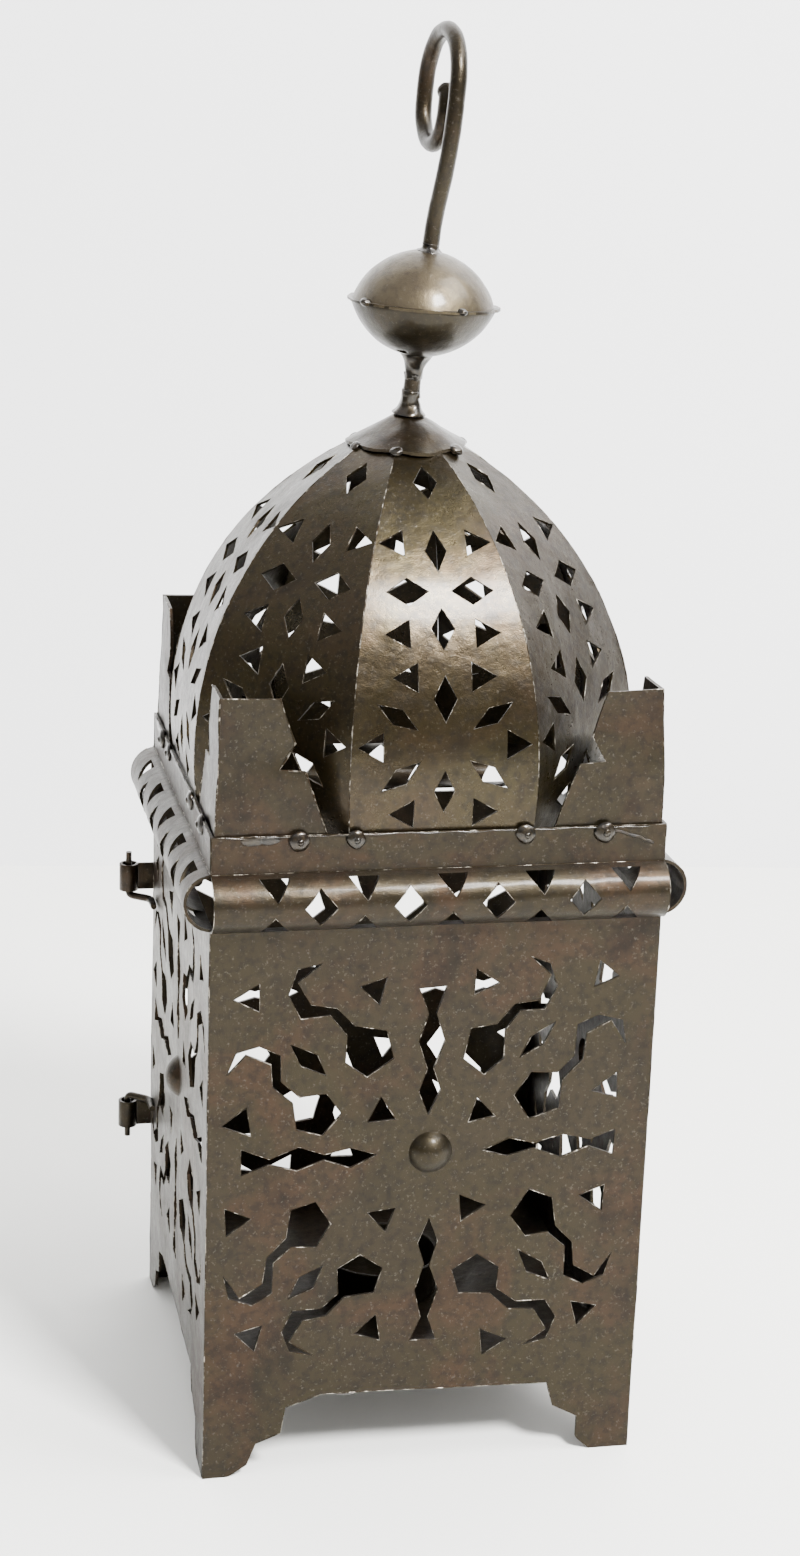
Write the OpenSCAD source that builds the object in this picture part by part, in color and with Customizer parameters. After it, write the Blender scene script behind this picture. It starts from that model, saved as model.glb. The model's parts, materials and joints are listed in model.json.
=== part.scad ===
// Square pierced sheet-metal candle lantern with a hinged rear door, an octagonal dome,
// a ball finial and a hanging hook. The front faces -Y and +Z is up. The origin is the
// middle of the footprint, on the surface that the four feet stand on.

/* [Body] */
// Width of the square body, outside the sheet
body_w = 150; // [146:1:154]
// Thickness of the wall sheet
sheet = 1.0; // [0.8:0.1:1.2]
// Height of the crease under the half-round moulding
panel_h = 197; // [195:1:200]
// Height of the half-round moulding from crease to crease
mould_h = 19.3; // [18:0.1:20]
// How far the moulding stands out of the wall
mould_out = 8.6; // [8:0.1:9]
// Height of the flat rim strip above the moulding
rim_h = 12.5; // [11:0.5:14]
// Height of the centre of the pierced pattern
pattern_z = 116.5; // [115:0.5:118]
// How unevenly the pattern is cut by hand
hand_cut = 0.5; // [0:0.1:0.8]

/* [Merlons] */
// Height of a corner merlon above the rim
merlon_h = 45; // [40:1:50]
// Inward lean of a corner merlon, in degrees
merlon_lean = 2.5; // [0:0.5:4]

/* [Dome] */
// Distance from the axis to a dome gore at its widest
dome_a = 74.7; // [74:0.1:74.8]
// Radius of a gore's upright curve
dome_r = 112; // [111:0.5:113]
// Height of the dome's widest line
dome_z = 244; // [242:0.5:246]
// Thickness of a gore
gore_t = 0.9; // [0.7:0.1:1]

/* [Finial and hook] */
// Lean of the finial to the right, in degrees
lean_right = 4.5; // [0:0.5:6]
// Lean of the finial to the front, in degrees
lean_front = 4; // [0:0.5:5]
// Diameter of the hook's round bar
rod_d = 5.6; // [5:0.1:6]
// Outer radius of a ball bowl
ball_r = 23.5; // [22:0.5:25]
// Depth of a ball bowl
bowl_h = 17; // [15:0.5:18]

/* [Door] */
// Diameter of the hinge wire
pin_d = 2.7; // [2.5:0.1:3]
// Outside diameter of a rolled hinge barrel
barrel_d = 7; // [6:0.5:7.5]
// Height of a hinge barrel
barrel_h = 10.3; // [9:0.1:11]

/* [Candle cup] */
// Inside radius of the tealight cup
cup_r = 20.25; // [20:0.25:21]
// Depth of the tealight cup
cup_h = 12; // [10:1:14]

/* [Hidden] */
$fn = 96;
hw = body_w / 2;                       // outer face of a wall
mould_z = panel_h + mould_h / 2;       // middle of the moulding
rim_z = panel_h + mould_h;             // upper crease
top_z = rim_z + rim_h;                 // top edge of the rim
mould_r = (pow(mould_h / 2, 2) + pow(mould_out, 2)) / (2 * mould_out);
hole_pitch = 29;                       // between the moulding's holes
hole_shift = 3;                        // the row of holes is off centre by this much
apron_z = 28;                          // underside of the arch between two feet
floor_z = 29;                          // underside of the floor plate
floor_t = 1;
gap = 0.3;                             // running gap round the door
door_z0 = 36.5;
door_z1 = panel_h - 1.5;
door_y = hw - sheet + gap;             // inner face of the closed door
hinge_x = -(hw + 9);
hinge_y = door_y + sheet + 0.5;
hinge_z = [160.4, 64.9];               // underside of the upper and of the lower barrel
pin_out = 4.4;                         // pin tip past its barrel
latch_x = 56;
latch_z = 32.8;
cap_z = 350;                           // where the bar meets the cap
ball_z = 39;                           // seam of the ball above that, along the bar
ball_lean = 2.5;                       // the ball's own lean to the right
plane_turn = -85;                      // the hook's plane, about the bar
gore_z0 = 222;
gore_z1 = 341.5;
gore_half = 22.5;
arc_c = dome_r - dome_a;               // a gore's arc centre lies this far past the axis
swell = 0.04;                          // how much a bar thickens where two bends meet
bronze = "#5b5148";
dark_bronze = "#4a4038";

// ---- small helpers ----

// A repeatable value from -1 to 1 for item k of set s.
function uneven(k, s) = let (v = sin(k * 137.5 + s * 71.3) * 437.58) 2 * (v - floor(v)) - 1;

// An outline with each point moved a little, as snips cut it.
function snipped(pts, s) =
    [for (k = [0:len(pts) - 1]) [pts[k].x + hand_cut * uneven(k, s), pts[k].y + hand_cut * uneven(k + 40, s)]];

module punch_triangle(x, y, turn, s) {
    r = 5.6;
    polygon(snipped([for (a = [0:120:240]) [x + r * cos(a + turn), y + r * sin(a + turn)]], s));
}

module punch_diamond(x, y, half_w, half_h, turn = 0) {
    translate([x, y]) rotate(turn) polygon([[half_w, 0], [0, half_h], [-half_w, 0], [0, -half_h]]);
}

// Stands a flat outline up on the wall that faces -Y, through the sheet.
module through_wall(y, depth = 4) {
    translate([0, y + depth / 2, 0]) rotate([90, 0, 0]) linear_extrude(depth) children();
}

// A round bar bent as a smith bends it. Each step is [straight length, bend radius,
// bend angle, turn about the bar before the step]; a bend goes towards the bar's own +X.
module bent_bar(d, steps, i = 0) {
    if (i < len(steps)) {
        s = steps[i];
        rotate([0, 0, s[3]]) {
            if (s[0] > 0) cylinder(d = d, h = s[0]);
            if (i > 0) sphere(d = d + swell);
            translate([0, 0, s[0]]) {
                translate([s[1], 0, 0]) rotate([90, 0, 0])
                    rotate_extrude(angle = s[2], start = 180 - s[2]) translate([s[1], 0]) circle(d = d);
                translate([s[1], 0, 0]) rotate([0, s[2], 0]) translate([-s[1], 0, 0])
                    bent_bar(d, steps, i + 1);
            }
        }
    }
}

// ---- pierced wall pattern ----

// One scroll of the first quadrant: a five-sided head, a narrow neck and a hooked tip.
SCROLL = [[38, 69], [46, 66.5], [49, 58], [45, 50], [35, 50], [29, 43.5], [29.5, 34], [22, 28.5],
    [13.5, 34.5], [16.5, 44.5], [26.5, 46], [33, 53], [42, 54], [46, 62.5]];
LEAF = [[36, 29], [39.5, 37], [48, 41.5], [44.5, 33.5]];
SPINDLE = [[18.5, 0], [27, 3.6], [35.5, 1], [45, 4.1], [54.5, 1], [63.6, 4.4], [63.6, -4.4],
    [54.5, -1], [45, -4.1], [35.5, -1], [27, -3.6]];

// How the cutter set each scroll: quadrant sign x and y, shift and stretch across and along.
UPRIGHT_SCROLLS = [[-1, 1, 0, 0, 1, 1], [1, 1, -2.5, -1, 0.89, 1], [-1, -1, 2, 10, 0.96, 0.91],
    [1, -1, -5, 13.5, 1.04, 0.88]];
FLAT_SCROLLS = [[-1, 1, -4.5, 4.5, 0.93, 0.93], [1, 1, -4, 1.2, 1.04, 0.94], [-1, -1, 1.6, 7, 1.03, 0.9],
    [1, -1, 2.1, 3.6, 1.03, 0.89]];
LEAVES = [[-1, 1, 0, 0], [1, 1, -7, 3], [-1, -1, -1, 10], [1, -1, -4, 9]];

// Centres and turns of the small triangles.
TRIANGLES = [[-61.3, 57.2, 183], [-20.6, 58.7, 168], [-64.6, 14.1, 190], [-17.3, 14.9, 91],
    [56.7, 60.3, -8], [16, 59.8, -3], [60.7, 20.2, 187], [16.5, 14, 103],
    [-65.8, -21.1, 5], [-15.4, -22.8, 158], [-59.8, -64, 166], [-18.7, -64.3, 194],
    [58, -20, 175], [14.2, -20.5, 5], [55.3, -62.8, 17], [23.3, -72, 5]];

module pierced_pattern(s) {
    for (k = [0:3]) {
        u = UPRIGHT_SCROLLS[k];
        polygon(snipped([for (p = SCROLL) [u[0] * (u[2] + u[4] * p.x), u[1] * (u[3] + u[5] * p.y)]], s + k));
        f = FLAT_SCROLLS[k];
        polygon(snipped([for (p = SCROLL) [f[0] * (f[3] + f[5] * p.y), f[1] * (f[2] + f[4] * p.x)]], s + 4 + k));
        l = LEAVES[k];
        polygon(snipped([for (p = LEAF) [l[0] * (l[2] + p.x), l[1] * (l[3] + p.y)]], s + 8 + k));
    }
    polygon(snipped(SPINDLE, s + 12));
    polygon(snipped([for (p = SPINDLE) [-p.x, p.y]], s + 13));
    polygon(snipped([for (p = SPINDLE) [p.y - 1, p.x - 5]], s + 14));
    polygon(snipped([for (p = SPINDLE) [p.y, -p.x - 6]], s + 15));
    for (k = [0:len(TRIANGLES) - 1]) punch_triangle(TRIANGLES[k].x, TRIANGLES[k].y, TRIANGLES[k].z, s + 20 + k);
}

// Stepped bracket feet with the arch between them, to be cut away.
module foot_arch() {
    polygon([[-66.5, -1], [-66.5, 0], [-60, 4], [-57, 12], [-48.5, 15.5], [-47, 25], [-34.5, apron_z + 1],
        [44.5, apron_z - 1], [47, 18], [56, 13], [56, 5], [61, 0], [61, -1]]);
}

// ---- wall sheets, drawn as the wall that faces -Y ----

// Section of the band: half-round moulding with the flat rim above it.
module band_section() {
    arc_y = -hw - mould_out + mould_r;
    difference() {
        translate([arc_y, mould_z]) circle(mould_r);
        translate([arc_y, mould_z]) circle(mould_r - sheet);
        translate([-hw + sheet, mould_z - 20]) square(40);
        translate([-hw - 20, mould_z - 40 - mould_h / 2]) square([60, 40]);
        translate([-hw - 20, rim_z]) square([60, 40]);
    }
    translate([-hw, rim_z - 0.7]) square([sheet, rim_h + 0.7]);
}

module band(width) {
    difference() {
        translate([-width / 2, 0, 0]) rotate([90, 0, 90]) linear_extrude(width) band_section();
        through_wall(-hw - 4, 12) band_holes();
    }
}

// Whole diamonds along the moulding's middle, half ones at both creases.
module band_holes() {
    for (k = [-2:2]) {
        x = hole_shift + k * hole_pitch;
        polygon([[x - 5, rim_z - 0.8], [x + 5, rim_z - 0.8], [x + 0.5, mould_z + 2.2]]);
        polygon([[x - 5, panel_h + 0.8], [x + 5, panel_h + 0.8], [x - 0.3, mould_z - 2.6]]);
    }
    for (k = [-2:1]) punch_diamond(hole_shift + (k + 0.5) * hole_pitch, mould_z + 0.2, 5.4, 6.2);
}

// Embossed boss in the middle of a wall, raised from the sheet.
boss_r = 7.4;
boss_h = 4.6;
boss_R = (boss_r * boss_r + boss_h * boss_h) / (2 * boss_h);
module boss(y) {
    translate([0, y - boss_h + boss_R, pattern_z]) intersection() {
        difference() {
            sphere(boss_R);
            sphere(boss_R - sheet);
        }
        translate([-20, boss_h - boss_R - 20, -20]) cube([40, 20 + 0.001, 40]);
    }
}

module boss_seat(y) {
    inner = boss_R - sheet;
    r = sqrt(inner * inner - pow(boss_R - boss_h, 2));
    translate([0, y - 1, pattern_z]) rotate([-90, 0, 0]) cylinder(r = r, h = sheet + 2);
}

module wall(width, s) {
    union() {
        difference() {
            translate([-width / 2, -hw, 0]) cube([width, sheet, panel_h + 0.7]);
            through_wall(-hw + sheet / 2) translate([0, pattern_z]) pierced_pattern(s);
            through_wall(-hw + sheet / 2) foot_arch();
            boss_seat(-hw);
        }
        boss(-hw);
        band(width);
    }
}

module front_panel() {
    color(bronze) wall(body_w, 1);
}

module left_panel() {
    color(bronze) rotate([0, 0, -90]) wall(body_w - 2 * sheet, 2);
}

module right_panel() {
    color(bronze) rotate([0, 0, 90]) wall(body_w - 2 * sheet, 3);
}

module rear_band() {
    color(bronze) rotate([0, 0, 180]) band(body_w);
}

module rear_sill() {
    color(bronze) difference() {
        translate([-hw, hw - sheet, 0]) cube([body_w, sheet, door_z0 - gap]);
        rotate([0, 0, 180]) through_wall(-hw + sheet / 2) foot_arch();
        translate([latch_x, hw - 2, latch_z]) rotate([-90, 0, 0]) cylinder(d = 3, h = 4);
    }
}

// ---- door, hinges and catch ----

module door() {
    half = hw - gap;
    color(bronze) rotate([0, 0, 180]) union() {
        difference() {
            translate([-half, -door_y - sheet, door_z0]) cube([2 * half, sheet, door_z1 - door_z0]);
            through_wall(-door_y - sheet / 2) translate([0, pattern_z]) pierced_pattern(5);
            boss_seat(-door_y - sheet);
        }
        boss(-door_y - sheet);
    }
}

// A strip on the door's outer face, rolled round the hinge pin.
module hinge_straps() {
    strap_t = 1;
    face = door_y + sheet;
    color(dark_bronze) for (z = hinge_z) difference() {
        union() {
            translate([hinge_x, face, z]) cube([28, strap_t, barrel_h]);
            translate([hinge_x, hinge_y, z]) cylinder(d = barrel_d, h = barrel_h);
        }
        translate([hinge_x, hinge_y, z - 1]) cylinder(d = pin_d + 0.1, h = barrel_h + 2);
    }
}

// Bent wire pins: the upper one points up and the lower one down, so the door can't lift off.
module hinge_pin() {
    reach_x = -hinge_x - hw - pin_d / 2;
    reach_y = 5.8;
    drop = 0.8 + pin_d / 2;
    tail = 9;
    elbow_d = pin_d + 0.1;
    translate([0, 0, -drop]) {
        cylinder(d = pin_d, h = drop + barrel_h + pin_out);
        sphere(d = elbow_d);
        rotate([90, 0, atan2(reach_x, reach_y)]) cylinder(d = pin_d, h = norm([reach_x, reach_y]));
        translate([reach_x, -reach_y, 0]) {
            sphere(d = elbow_d);
            rotate([90, 0, 0]) cylinder(d = pin_d, h = tail);
        }
    }
}

module hinge_pins() {
    color(dark_bronze) {
        translate([hinge_x, hinge_y, hinge_z[0]]) hinge_pin();
        translate([hinge_x, hinge_y, hinge_z[1] + barrel_h]) mirror([0, 0, 1]) hinge_pin();
    }
}

latch_y = door_y + sheet + gap;        // inner face of the turn button
button_t = 1;

// Turn button on the sill. It lies along the sill and turns up over the door's edge.
module latch_button() {
    color(dark_bronze) translate([latch_x, latch_y + button_t, latch_z]) rotate([90, 0, 0]) difference() {
        union() {
            cylinder(d = 6.4, h = button_t);
            translate([-13, -3.2, 0]) cube([13, 6.4, button_t]);
            translate([-13, 0, 0]) cylinder(d = 6.4, h = button_t);
        }
        translate([0, 0, -1]) cylinder(d = 3.1, h = button_t + 2);
    }
}

module latch_rivet() {
    shoulder = latch_y - hw - 0.05;
    color(dark_bronze) translate([latch_x, hw, latch_z]) rotate([-90, 0, 0]) {
        translate([0, 0, -sheet - 0.8]) cylinder(d = 5, h = 0.8);
        translate([0, 0, -sheet]) cylinder(d = 3, h = sheet + latch_y - hw + button_t + 0.2);
        cylinder(d = 5.6, h = shoulder);
        translate([0, 0, latch_y - hw + button_t + 0.05]) cylinder(d1 = 5.6, d2 = 4, h = 1.1);
    }
}

// ---- floor and candle cup ----

module floor_plate() {
    side = body_w - 2 * sheet - 0.2;
    color(bronze) translate([-side / 2, -side / 2, floor_z]) cube([side, side, floor_t]);
}

module candle_cup() {
    cup_z = floor_z + floor_t;
    color(bronze) translate([0, 0, cup_z]) difference() {
        cylinder(r = cup_r + 1, h = cup_h + 1);
        translate([0, 0, 1]) cylinder(r = cup_r, h = cup_h + 1);
    }
}

// ---- corner merlons ----

module merlon_leg() {
    base = gore_z0;
    top = top_z + merlon_h;
    polygon([[0, base], [0, top], [19, top], [24, top - 14.5], [19.5, top - 23], [28, top - 23.5],
        [36.5, top_z], [36.5, base]]);
}

// Sheet bent to an angle, drawn for the front left corner with the legs along +X and +Y.
module merlon(turn) {
    corner = hw - sheet - 0.1;
    color(bronze) rotate([0, 0, turn]) translate([-corner, -corner, gore_z0]) rotate(a = merlon_lean, v = [-1, 1, 0])
        translate([0, 0, -gore_z0]) {
            translate([0, sheet, 0]) rotate([90, 0, 0]) linear_extrude(sheet) merlon_leg();
            mirror([1, -1, 0]) translate([0, sheet, 0]) rotate([90, 0, 0]) linear_extrude(sheet)
                intersection() {
                    merlon_leg();
                    translate([sheet, 0]) square([60, 400]);
                }
        }
}

module merlon_front_left() {
    merlon(0);
}

module merlon_front_right() {
    merlon(90);
}

module merlon_rear_right() {
    merlon(180);
}

module merlon_rear_left() {
    merlon(270);
}

// ---- dome gores, drawn as the gore that faces -Y ----

// Holes as [across, up along the curve from the widest line].
GORE_TRIANGLES = [[13, 80, 0], [13.5, 49, 0], [11.5, 35, 0], [-23, 13, 0], [12.5, -9.3, 0]];
GORE_DIAMONDS = [[0, 77, 3.6, 7.6], [0, 50.5, 3.9, 7], [0, 28, 3.9, 7.6], [0, -2, 3.4, 7]];

// Cuts a flat outline square through the gore at a height s along its curve.
module through_gore(s) {
    translate([0, arc_c, dome_z]) rotate([-s / dome_r * 180 / PI, 0, 0]) translate([0, -dome_r + 4, 0])
        rotate([90, 0, 0]) linear_extrude(8) children();
}

module gore_holes() {
    through_gore(104) punch_diamond(0, 0, 4, 7.4);
    for (d = GORE_DIAMONDS) through_gore(d[1]) punch_diamond(d[0], 0, d[2], d[3]);
    for (side = [-1, 1]) {
        for (t = GORE_TRIANGLES) through_gore(t[1])
            polygon([for (a = [0:120:240]) [side * (t[0] + (t[0] > 0 ? 5.6 : -5.6) * cos(a)), 5.6 * sin(a)]]);
        through_gore(63) punch_diamond(side * 10.6, 0, 7, 4.8);
        through_gore(22.5) punch_diamond(side * 15.6, 0, 7.9, 2.9, side * 33);
        through_gore(3.3) punch_diamond(side * 14.4, 0, 8, 3, side * -37);
    }
}

module gore(turn) {
    reach = 90;
    half_w = reach * tan(gore_half) - 0.1;
    color(bronze) rotate([0, 0, turn]) difference() {
        intersection() {
            translate([-45, 0, 0]) rotate([90, 0, 90]) linear_extrude(90) intersection() {
                difference() {
                    translate([arc_c, dome_z]) circle(dome_r);
                    translate([arc_c, dome_z]) circle(dome_r - gore_t);
                }
                translate([-100, gore_z0]) square([100, gore_z1 - gore_z0]);
            }
            translate([0, 0, gore_z0 - 5]) linear_extrude(gore_z1 - gore_z0 + 10)
                polygon([[0, -0.24], [-half_w, -reach], [half_w, -reach]]);
        }
        gore_holes();
    }
}

module gore_front() {
    gore(0);
}

module gore_front_right() {
    gore(45);
}

module gore_right() {
    gore(90);
}

module gore_rear_right() {
    gore(135);
}

module gore_rear() {
    gore(180);
}

module gore_rear_left() {
    gore(225);
}

module gore_left() {
    gore(270);
}

module gore_front_left() {
    gore(315);
}

// ---- cap, ball and hook ----

// Everything above the cap leans together. Its own +X is the front of the hook's plane.
module leaning() {
    translate([0, 0, cap_z]) rotate([0, lean_right, 0]) rotate([0, lean_front, plane_turn]) children();
}

// Solid cone under the cap's outside, raised by a given amount.
cap_slope = 0.58;
cap_reach = 30;
module cap_cone(raised) {
    apex = cap_z + 2.8 + raised;
    translate([0, 0, apex - cap_reach * cap_slope]) cylinder(r1 = cap_reach, r2 = 0, h = cap_reach * cap_slope);
}

// Shallow cone with a wavy edge over the gores' upper ends.
module dome_cap() {
    edge = [for (a = [0:7.5:352.5]) (20.2 + 0.6 * sin(3 * a + 20) + 0.4 * sin(7 * a)) * [cos(a), sin(a)]];
    color(bronze) intersection() {
        difference() {
            cap_cone(sheet);
            cap_cone(0);
        }
        translate([0, 0, cap_z - cap_reach]) linear_extrude(2 * cap_reach) difference() {
            polygon(edge);
            circle(d = rod_d + 0.8);
        }
    }
}

// Half of the ball: a shallow bowl with a flat flange, opening along +Z.
module bowl() {
    flange_w = 2;
    big_r = (ball_r * ball_r + bowl_h * bowl_h) / (2 * bowl_h);
    rotate_extrude() difference() {
        union() {
            intersection() {
                difference() {
                    translate([0, big_r - bowl_h]) circle(big_r);
                    translate([0, big_r - bowl_h]) circle(big_r - sheet);
                }
                translate([0, -bowl_h - 1]) square([ball_r + 1, bowl_h + 1]);
            }
            translate([ball_r - 1.2, -sheet]) square([flange_w + 1.2, sheet]);
        }
        translate([0, -bowl_h - 2]) square([rod_d / 2 + 2, bowl_h + 4]);
    }
}

// The ball sits straighter on the bar than the bar stands on the cap.
module on_bar() {
    leaning() translate([0, 0, ball_z]) rotate([0, 0, -plane_turn]) rotate([-lean_front, 0, 0])
        rotate([0, ball_lean - lean_right, 0]) children();
}

module ball_lower_bowl() {
    color(bronze) on_bar() bowl();
}

module ball_upper_bowl() {
    color(bronze) on_bar() mirror([0, 0, 1]) bowl();
}

// One bar: from the cap up through the ball, forwards, back over and curled under.
module hook() {
    below = 1;
    color(dark_bronze) leaning() translate([0, 0, -below])
        bent_bar(rod_d, [[61, 40, 20, 0], [0, 70, 24, 180], [7, 17, 180, 0], [6, 13.5, 90, 0], [0, 11, 95, 0],
            [2.5, 4, 70, 0]]);
}

// Rough weld round the bar on the cap, under the ball and on top of it.
module stem_welds() {
    ball_low = ball_z - bowl_h;
    ball_top = ball_z + bowl_h;
    clearance = 0.03;
    color(dark_bronze) difference() {
        leaning() difference() {
            union() {
                translate([0, 0, 0.4]) cylinder(r1 = 5.4, r2 = 3.4, h = 7.2);
                translate([0, 0, ball_low - 5.2]) cylinder(r1 = 3.3, r2 = 5.4, h = 5);
                translate([0, 0, ball_top + 0.1]) cylinder(r1 = 4.2, r2 = 3.2, h = 2.2);
            }
            translate([0, 0, -1]) cylinder(d = rod_d, h = 80);
        }
        cap_cone(sheet + clearance);
    }
}

// ---- weld beads ----

module bead(r, h) {
    big = (r * r + h * h) / (2 * h);
    intersection() {
        translate([0, 0, h - big]) sphere(big);
        cylinder(r = r + 1, h = h + 1);
    }
}

BEADS = [[-47, 2.9], [-28.5, 2.6], [27.5, 2.7], [54, 3]];

// Beads on the rim's outer face, where it holds the gores and the merlons.
module rim_welds() {
    color(dark_bronze) for (turn = [0:90:270], b = BEADS)
        rotate([0, 0, turn]) translate([b.x, -hw, top_z - b[1] + 0.6]) rotate([90, 0, 0]) bead(b[1], 1.3);
}

// Beads inside the walls that hold the floor plate, on its underside.
module floor_welds() {
    color(dark_bronze) for (turn = [0:90:270], x = [-26, 24]) rotate([0, 0, turn])
        translate([x, -hw + sheet + 0.3 + 2.5, floor_z]) rotate([180, 0, 0]) bead(2.5, 1.4);
}

front_panel();
left_panel();
right_panel();
rear_band();
rear_sill();
door();
hinge_straps();
hinge_pins();
latch_button();
latch_rivet();
floor_plate();
candle_cup();
merlon_front_left();
merlon_front_right();
merlon_rear_right();
merlon_rear_left();
gore_front();
gore_front_right();
gore_right();
gore_rear_right();
gore_rear();
gore_rear_left();
gore_left();
gore_front_left();
dome_cap();
ball_lower_bowl();
ball_upper_bowl();
hook();
stem_welds();
rim_welds();
floor_welds();
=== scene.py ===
import json
import math

import bpy
from mathutils import Matrix, Vector, noise

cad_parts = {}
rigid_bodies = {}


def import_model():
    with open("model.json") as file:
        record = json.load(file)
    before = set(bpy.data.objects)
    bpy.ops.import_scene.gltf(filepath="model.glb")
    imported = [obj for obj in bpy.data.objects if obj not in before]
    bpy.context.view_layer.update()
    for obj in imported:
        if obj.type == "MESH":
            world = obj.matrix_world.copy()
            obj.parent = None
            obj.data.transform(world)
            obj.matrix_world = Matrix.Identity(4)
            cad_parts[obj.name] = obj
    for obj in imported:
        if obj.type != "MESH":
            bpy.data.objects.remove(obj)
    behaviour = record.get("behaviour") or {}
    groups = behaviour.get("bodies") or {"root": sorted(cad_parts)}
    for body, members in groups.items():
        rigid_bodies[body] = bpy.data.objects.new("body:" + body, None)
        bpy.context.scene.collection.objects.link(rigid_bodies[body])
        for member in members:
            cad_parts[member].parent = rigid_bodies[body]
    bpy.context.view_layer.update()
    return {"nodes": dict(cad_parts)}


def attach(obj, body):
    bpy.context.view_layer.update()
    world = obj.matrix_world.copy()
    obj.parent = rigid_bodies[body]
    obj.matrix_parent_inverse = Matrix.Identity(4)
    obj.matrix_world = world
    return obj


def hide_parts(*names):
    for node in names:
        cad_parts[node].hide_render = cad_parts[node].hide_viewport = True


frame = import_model()
nodes = frame["nodes"]
print("frame loaded")

mm = 0.001



def pick(piece):
    bpy.ops.object.select_all(action="DESELECT")
    piece.select_set(True)
    bpy.context.view_layer.objects.active = piece


def editMode(kind="FACE"):
    bpy.ops.object.mode_set(mode="EDIT")
    bpy.ops.mesh.select_mode(type=kind)


def objectMode():
    bpy.ops.object.mode_set(mode="OBJECT")


def choose(piece, kind, wanted):
    # edit mode with only the wanted points, edges or faces selected
    pick(piece)
    editMode(kind)
    bpy.ops.mesh.select_all(action="DESELECT")
    objectMode()
    items = {"VERT": piece.data.vertices, "EDGE": piece.data.edges, "FACE": piece.data.polygons}[kind]
    for item in items:
        item.select = wanted(item)
    bpy.ops.object.mode_set(mode="EDIT")


def settle(piece, place=None):
    # the piece's place goes into its mesh
    if place is not None:
        piece.matrix_world = place @ piece.matrix_world
    pick(piece)
    bpy.ops.object.transform_apply(location=True, rotation=True, scale=True)


def recalculate(piece):
    pick(piece)
    editMode()
    bpy.ops.mesh.select_all(action="SELECT")
    bpy.ops.mesh.remove_doubles(threshold=0.00001)
    bpy.ops.mesh.normals_make_consistent(inside=False)
    objectMode()


def smooth(piece, angle=35):
    pick(piece)
    bpy.ops.object.shade_smooth_by_angle(angle=math.radians(angle))


def applyModifier(piece, kind, **settings):
    pick(piece)
    modifier = piece.modifiers.new(kind.title(), kind)
    for name, value in settings.items():
        setattr(modifier, name, value)
    bpy.ops.object.modifier_apply(modifier=modifier.name)


def joinPieces(pieces, name):
    bpy.ops.object.select_all(action="DESELECT")
    for piece in pieces:
        piece.select_set(True)
    bpy.context.view_layer.objects.active = pieces[0]
    if len(pieces) > 1:
        bpy.ops.object.join()
    pieces[0].name = name
    return pieces[0]


def dent(piece, size, depth, away=None, shift=0.0):
    # beaten and sprung metal: every point moves a little, the same way for neighbours
    offset = Vector((shift, shift * 1.7, -shift))
    normals = [v.normal.copy() for v in piece.data.vertices] if away is None else None
    for i, v in enumerate(piece.data.vertices):
        p = v.co / size + offset
        amount = depth * (noise.noise(p) + 0.35 * noise.noise(p * 2.3))
        v.co += (away if away is not None else normals[i]) * amount
    piece.data.update()


def finishPiece(piece, body, material, replaced=()):
    piece.data.materials.clear()
    piece.data.materials.append(material)
    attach(piece, body)
    if replaced:
        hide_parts(*replaced)
    return piece



class Wire:
    # a socket that can be used in sums
    def __init__(self, paint, socket):
        self.paint, self.socket = paint, socket

    def maths(self, operation, other, swap=False):
        pair = (other, self) if swap else (self, other)
        return self.paint.node("ShaderNodeMath", {"operation": operation}, {0: pair[0], 1: pair[1]})

    def __add__(self, other): return self.maths("ADD", other)
    def __radd__(self, other): return self.maths("ADD", other, True)
    def __sub__(self, other): return self.maths("SUBTRACT", other)
    def __rsub__(self, other): return self.maths("SUBTRACT", other, True)
    def __mul__(self, other): return self.maths("MULTIPLY", other)
    def __rmul__(self, other): return self.maths("MULTIPLY", other, True)

    def between(self, low, high):
        # 0 at low, 1 at high, and never outside
        return self.paint.node("ShaderNodeMapRange", {"interpolation_type": "SMOOTHSTEP"},
                               {"Value": self, "From Min": low, "From Max": high})


class Paint:
    def __init__(self, name, sky=None):
        self.material = sky or bpy.data.materials.new(name)
        self.material.use_nodes = True
        self.tree = self.material.node_tree
        self.tree.nodes.clear()

    def node(self, kind, settings=None, sockets=None, out=0):
        made = self.tree.nodes.new(kind)
        for name, value in (settings or {}).items():
            setattr(made, name, value)
        for name, value in (sockets or {}).items():
            if isinstance(value, Wire):
                self.tree.links.new(value.socket, made.inputs[name])
            else:
                made.inputs[name].default_value = value
        return Wire(self, made.outputs[out]) if made.outputs else None

    def noise(self, place, scale, detail=4.0, rough=0.55, warp=0.0):
        return self.node("ShaderNodeTexNoise", None, {"Vector": place, "Scale": scale, "Detail": detail,
                                                     "Roughness": rough, "Distortion": warp})

    def blend(self, amount, first, second):
        return self.node("ShaderNodeMix", {"data_type": "RGBA"}, {0: amount, 6: first, 7: second}, out=2)

    def finish(self, **sockets):
        shader = self.node("ShaderNodeBsdfPrincipled", None, {k.replace("_", " "): v for k, v in sockets.items()})
        self.node("ShaderNodeOutputMaterial", None, {"Surface": shader})
        return self.material



bronzeTones = {
    "base": (0.0190, 0.0140, 0.0070),    # brown of the painted sheet
    "olive": (0.0190, 0.0150, 0.0050),   # where the paint lies thicker
    "dark": (0.0075, 0.0062, 0.0048),    # soot and old paint in the dents
    "rust": (0.0340, 0.0175, 0.0088),    # red-brown bloom
    "bare": (0.34, 0.31, 0.26),          # rubbed edges and burrs
    "metallic": 0.86,
    "roughness": 0.42,
    "coat": 0.10,
    "coatRoughness": 0.16,
}


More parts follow.
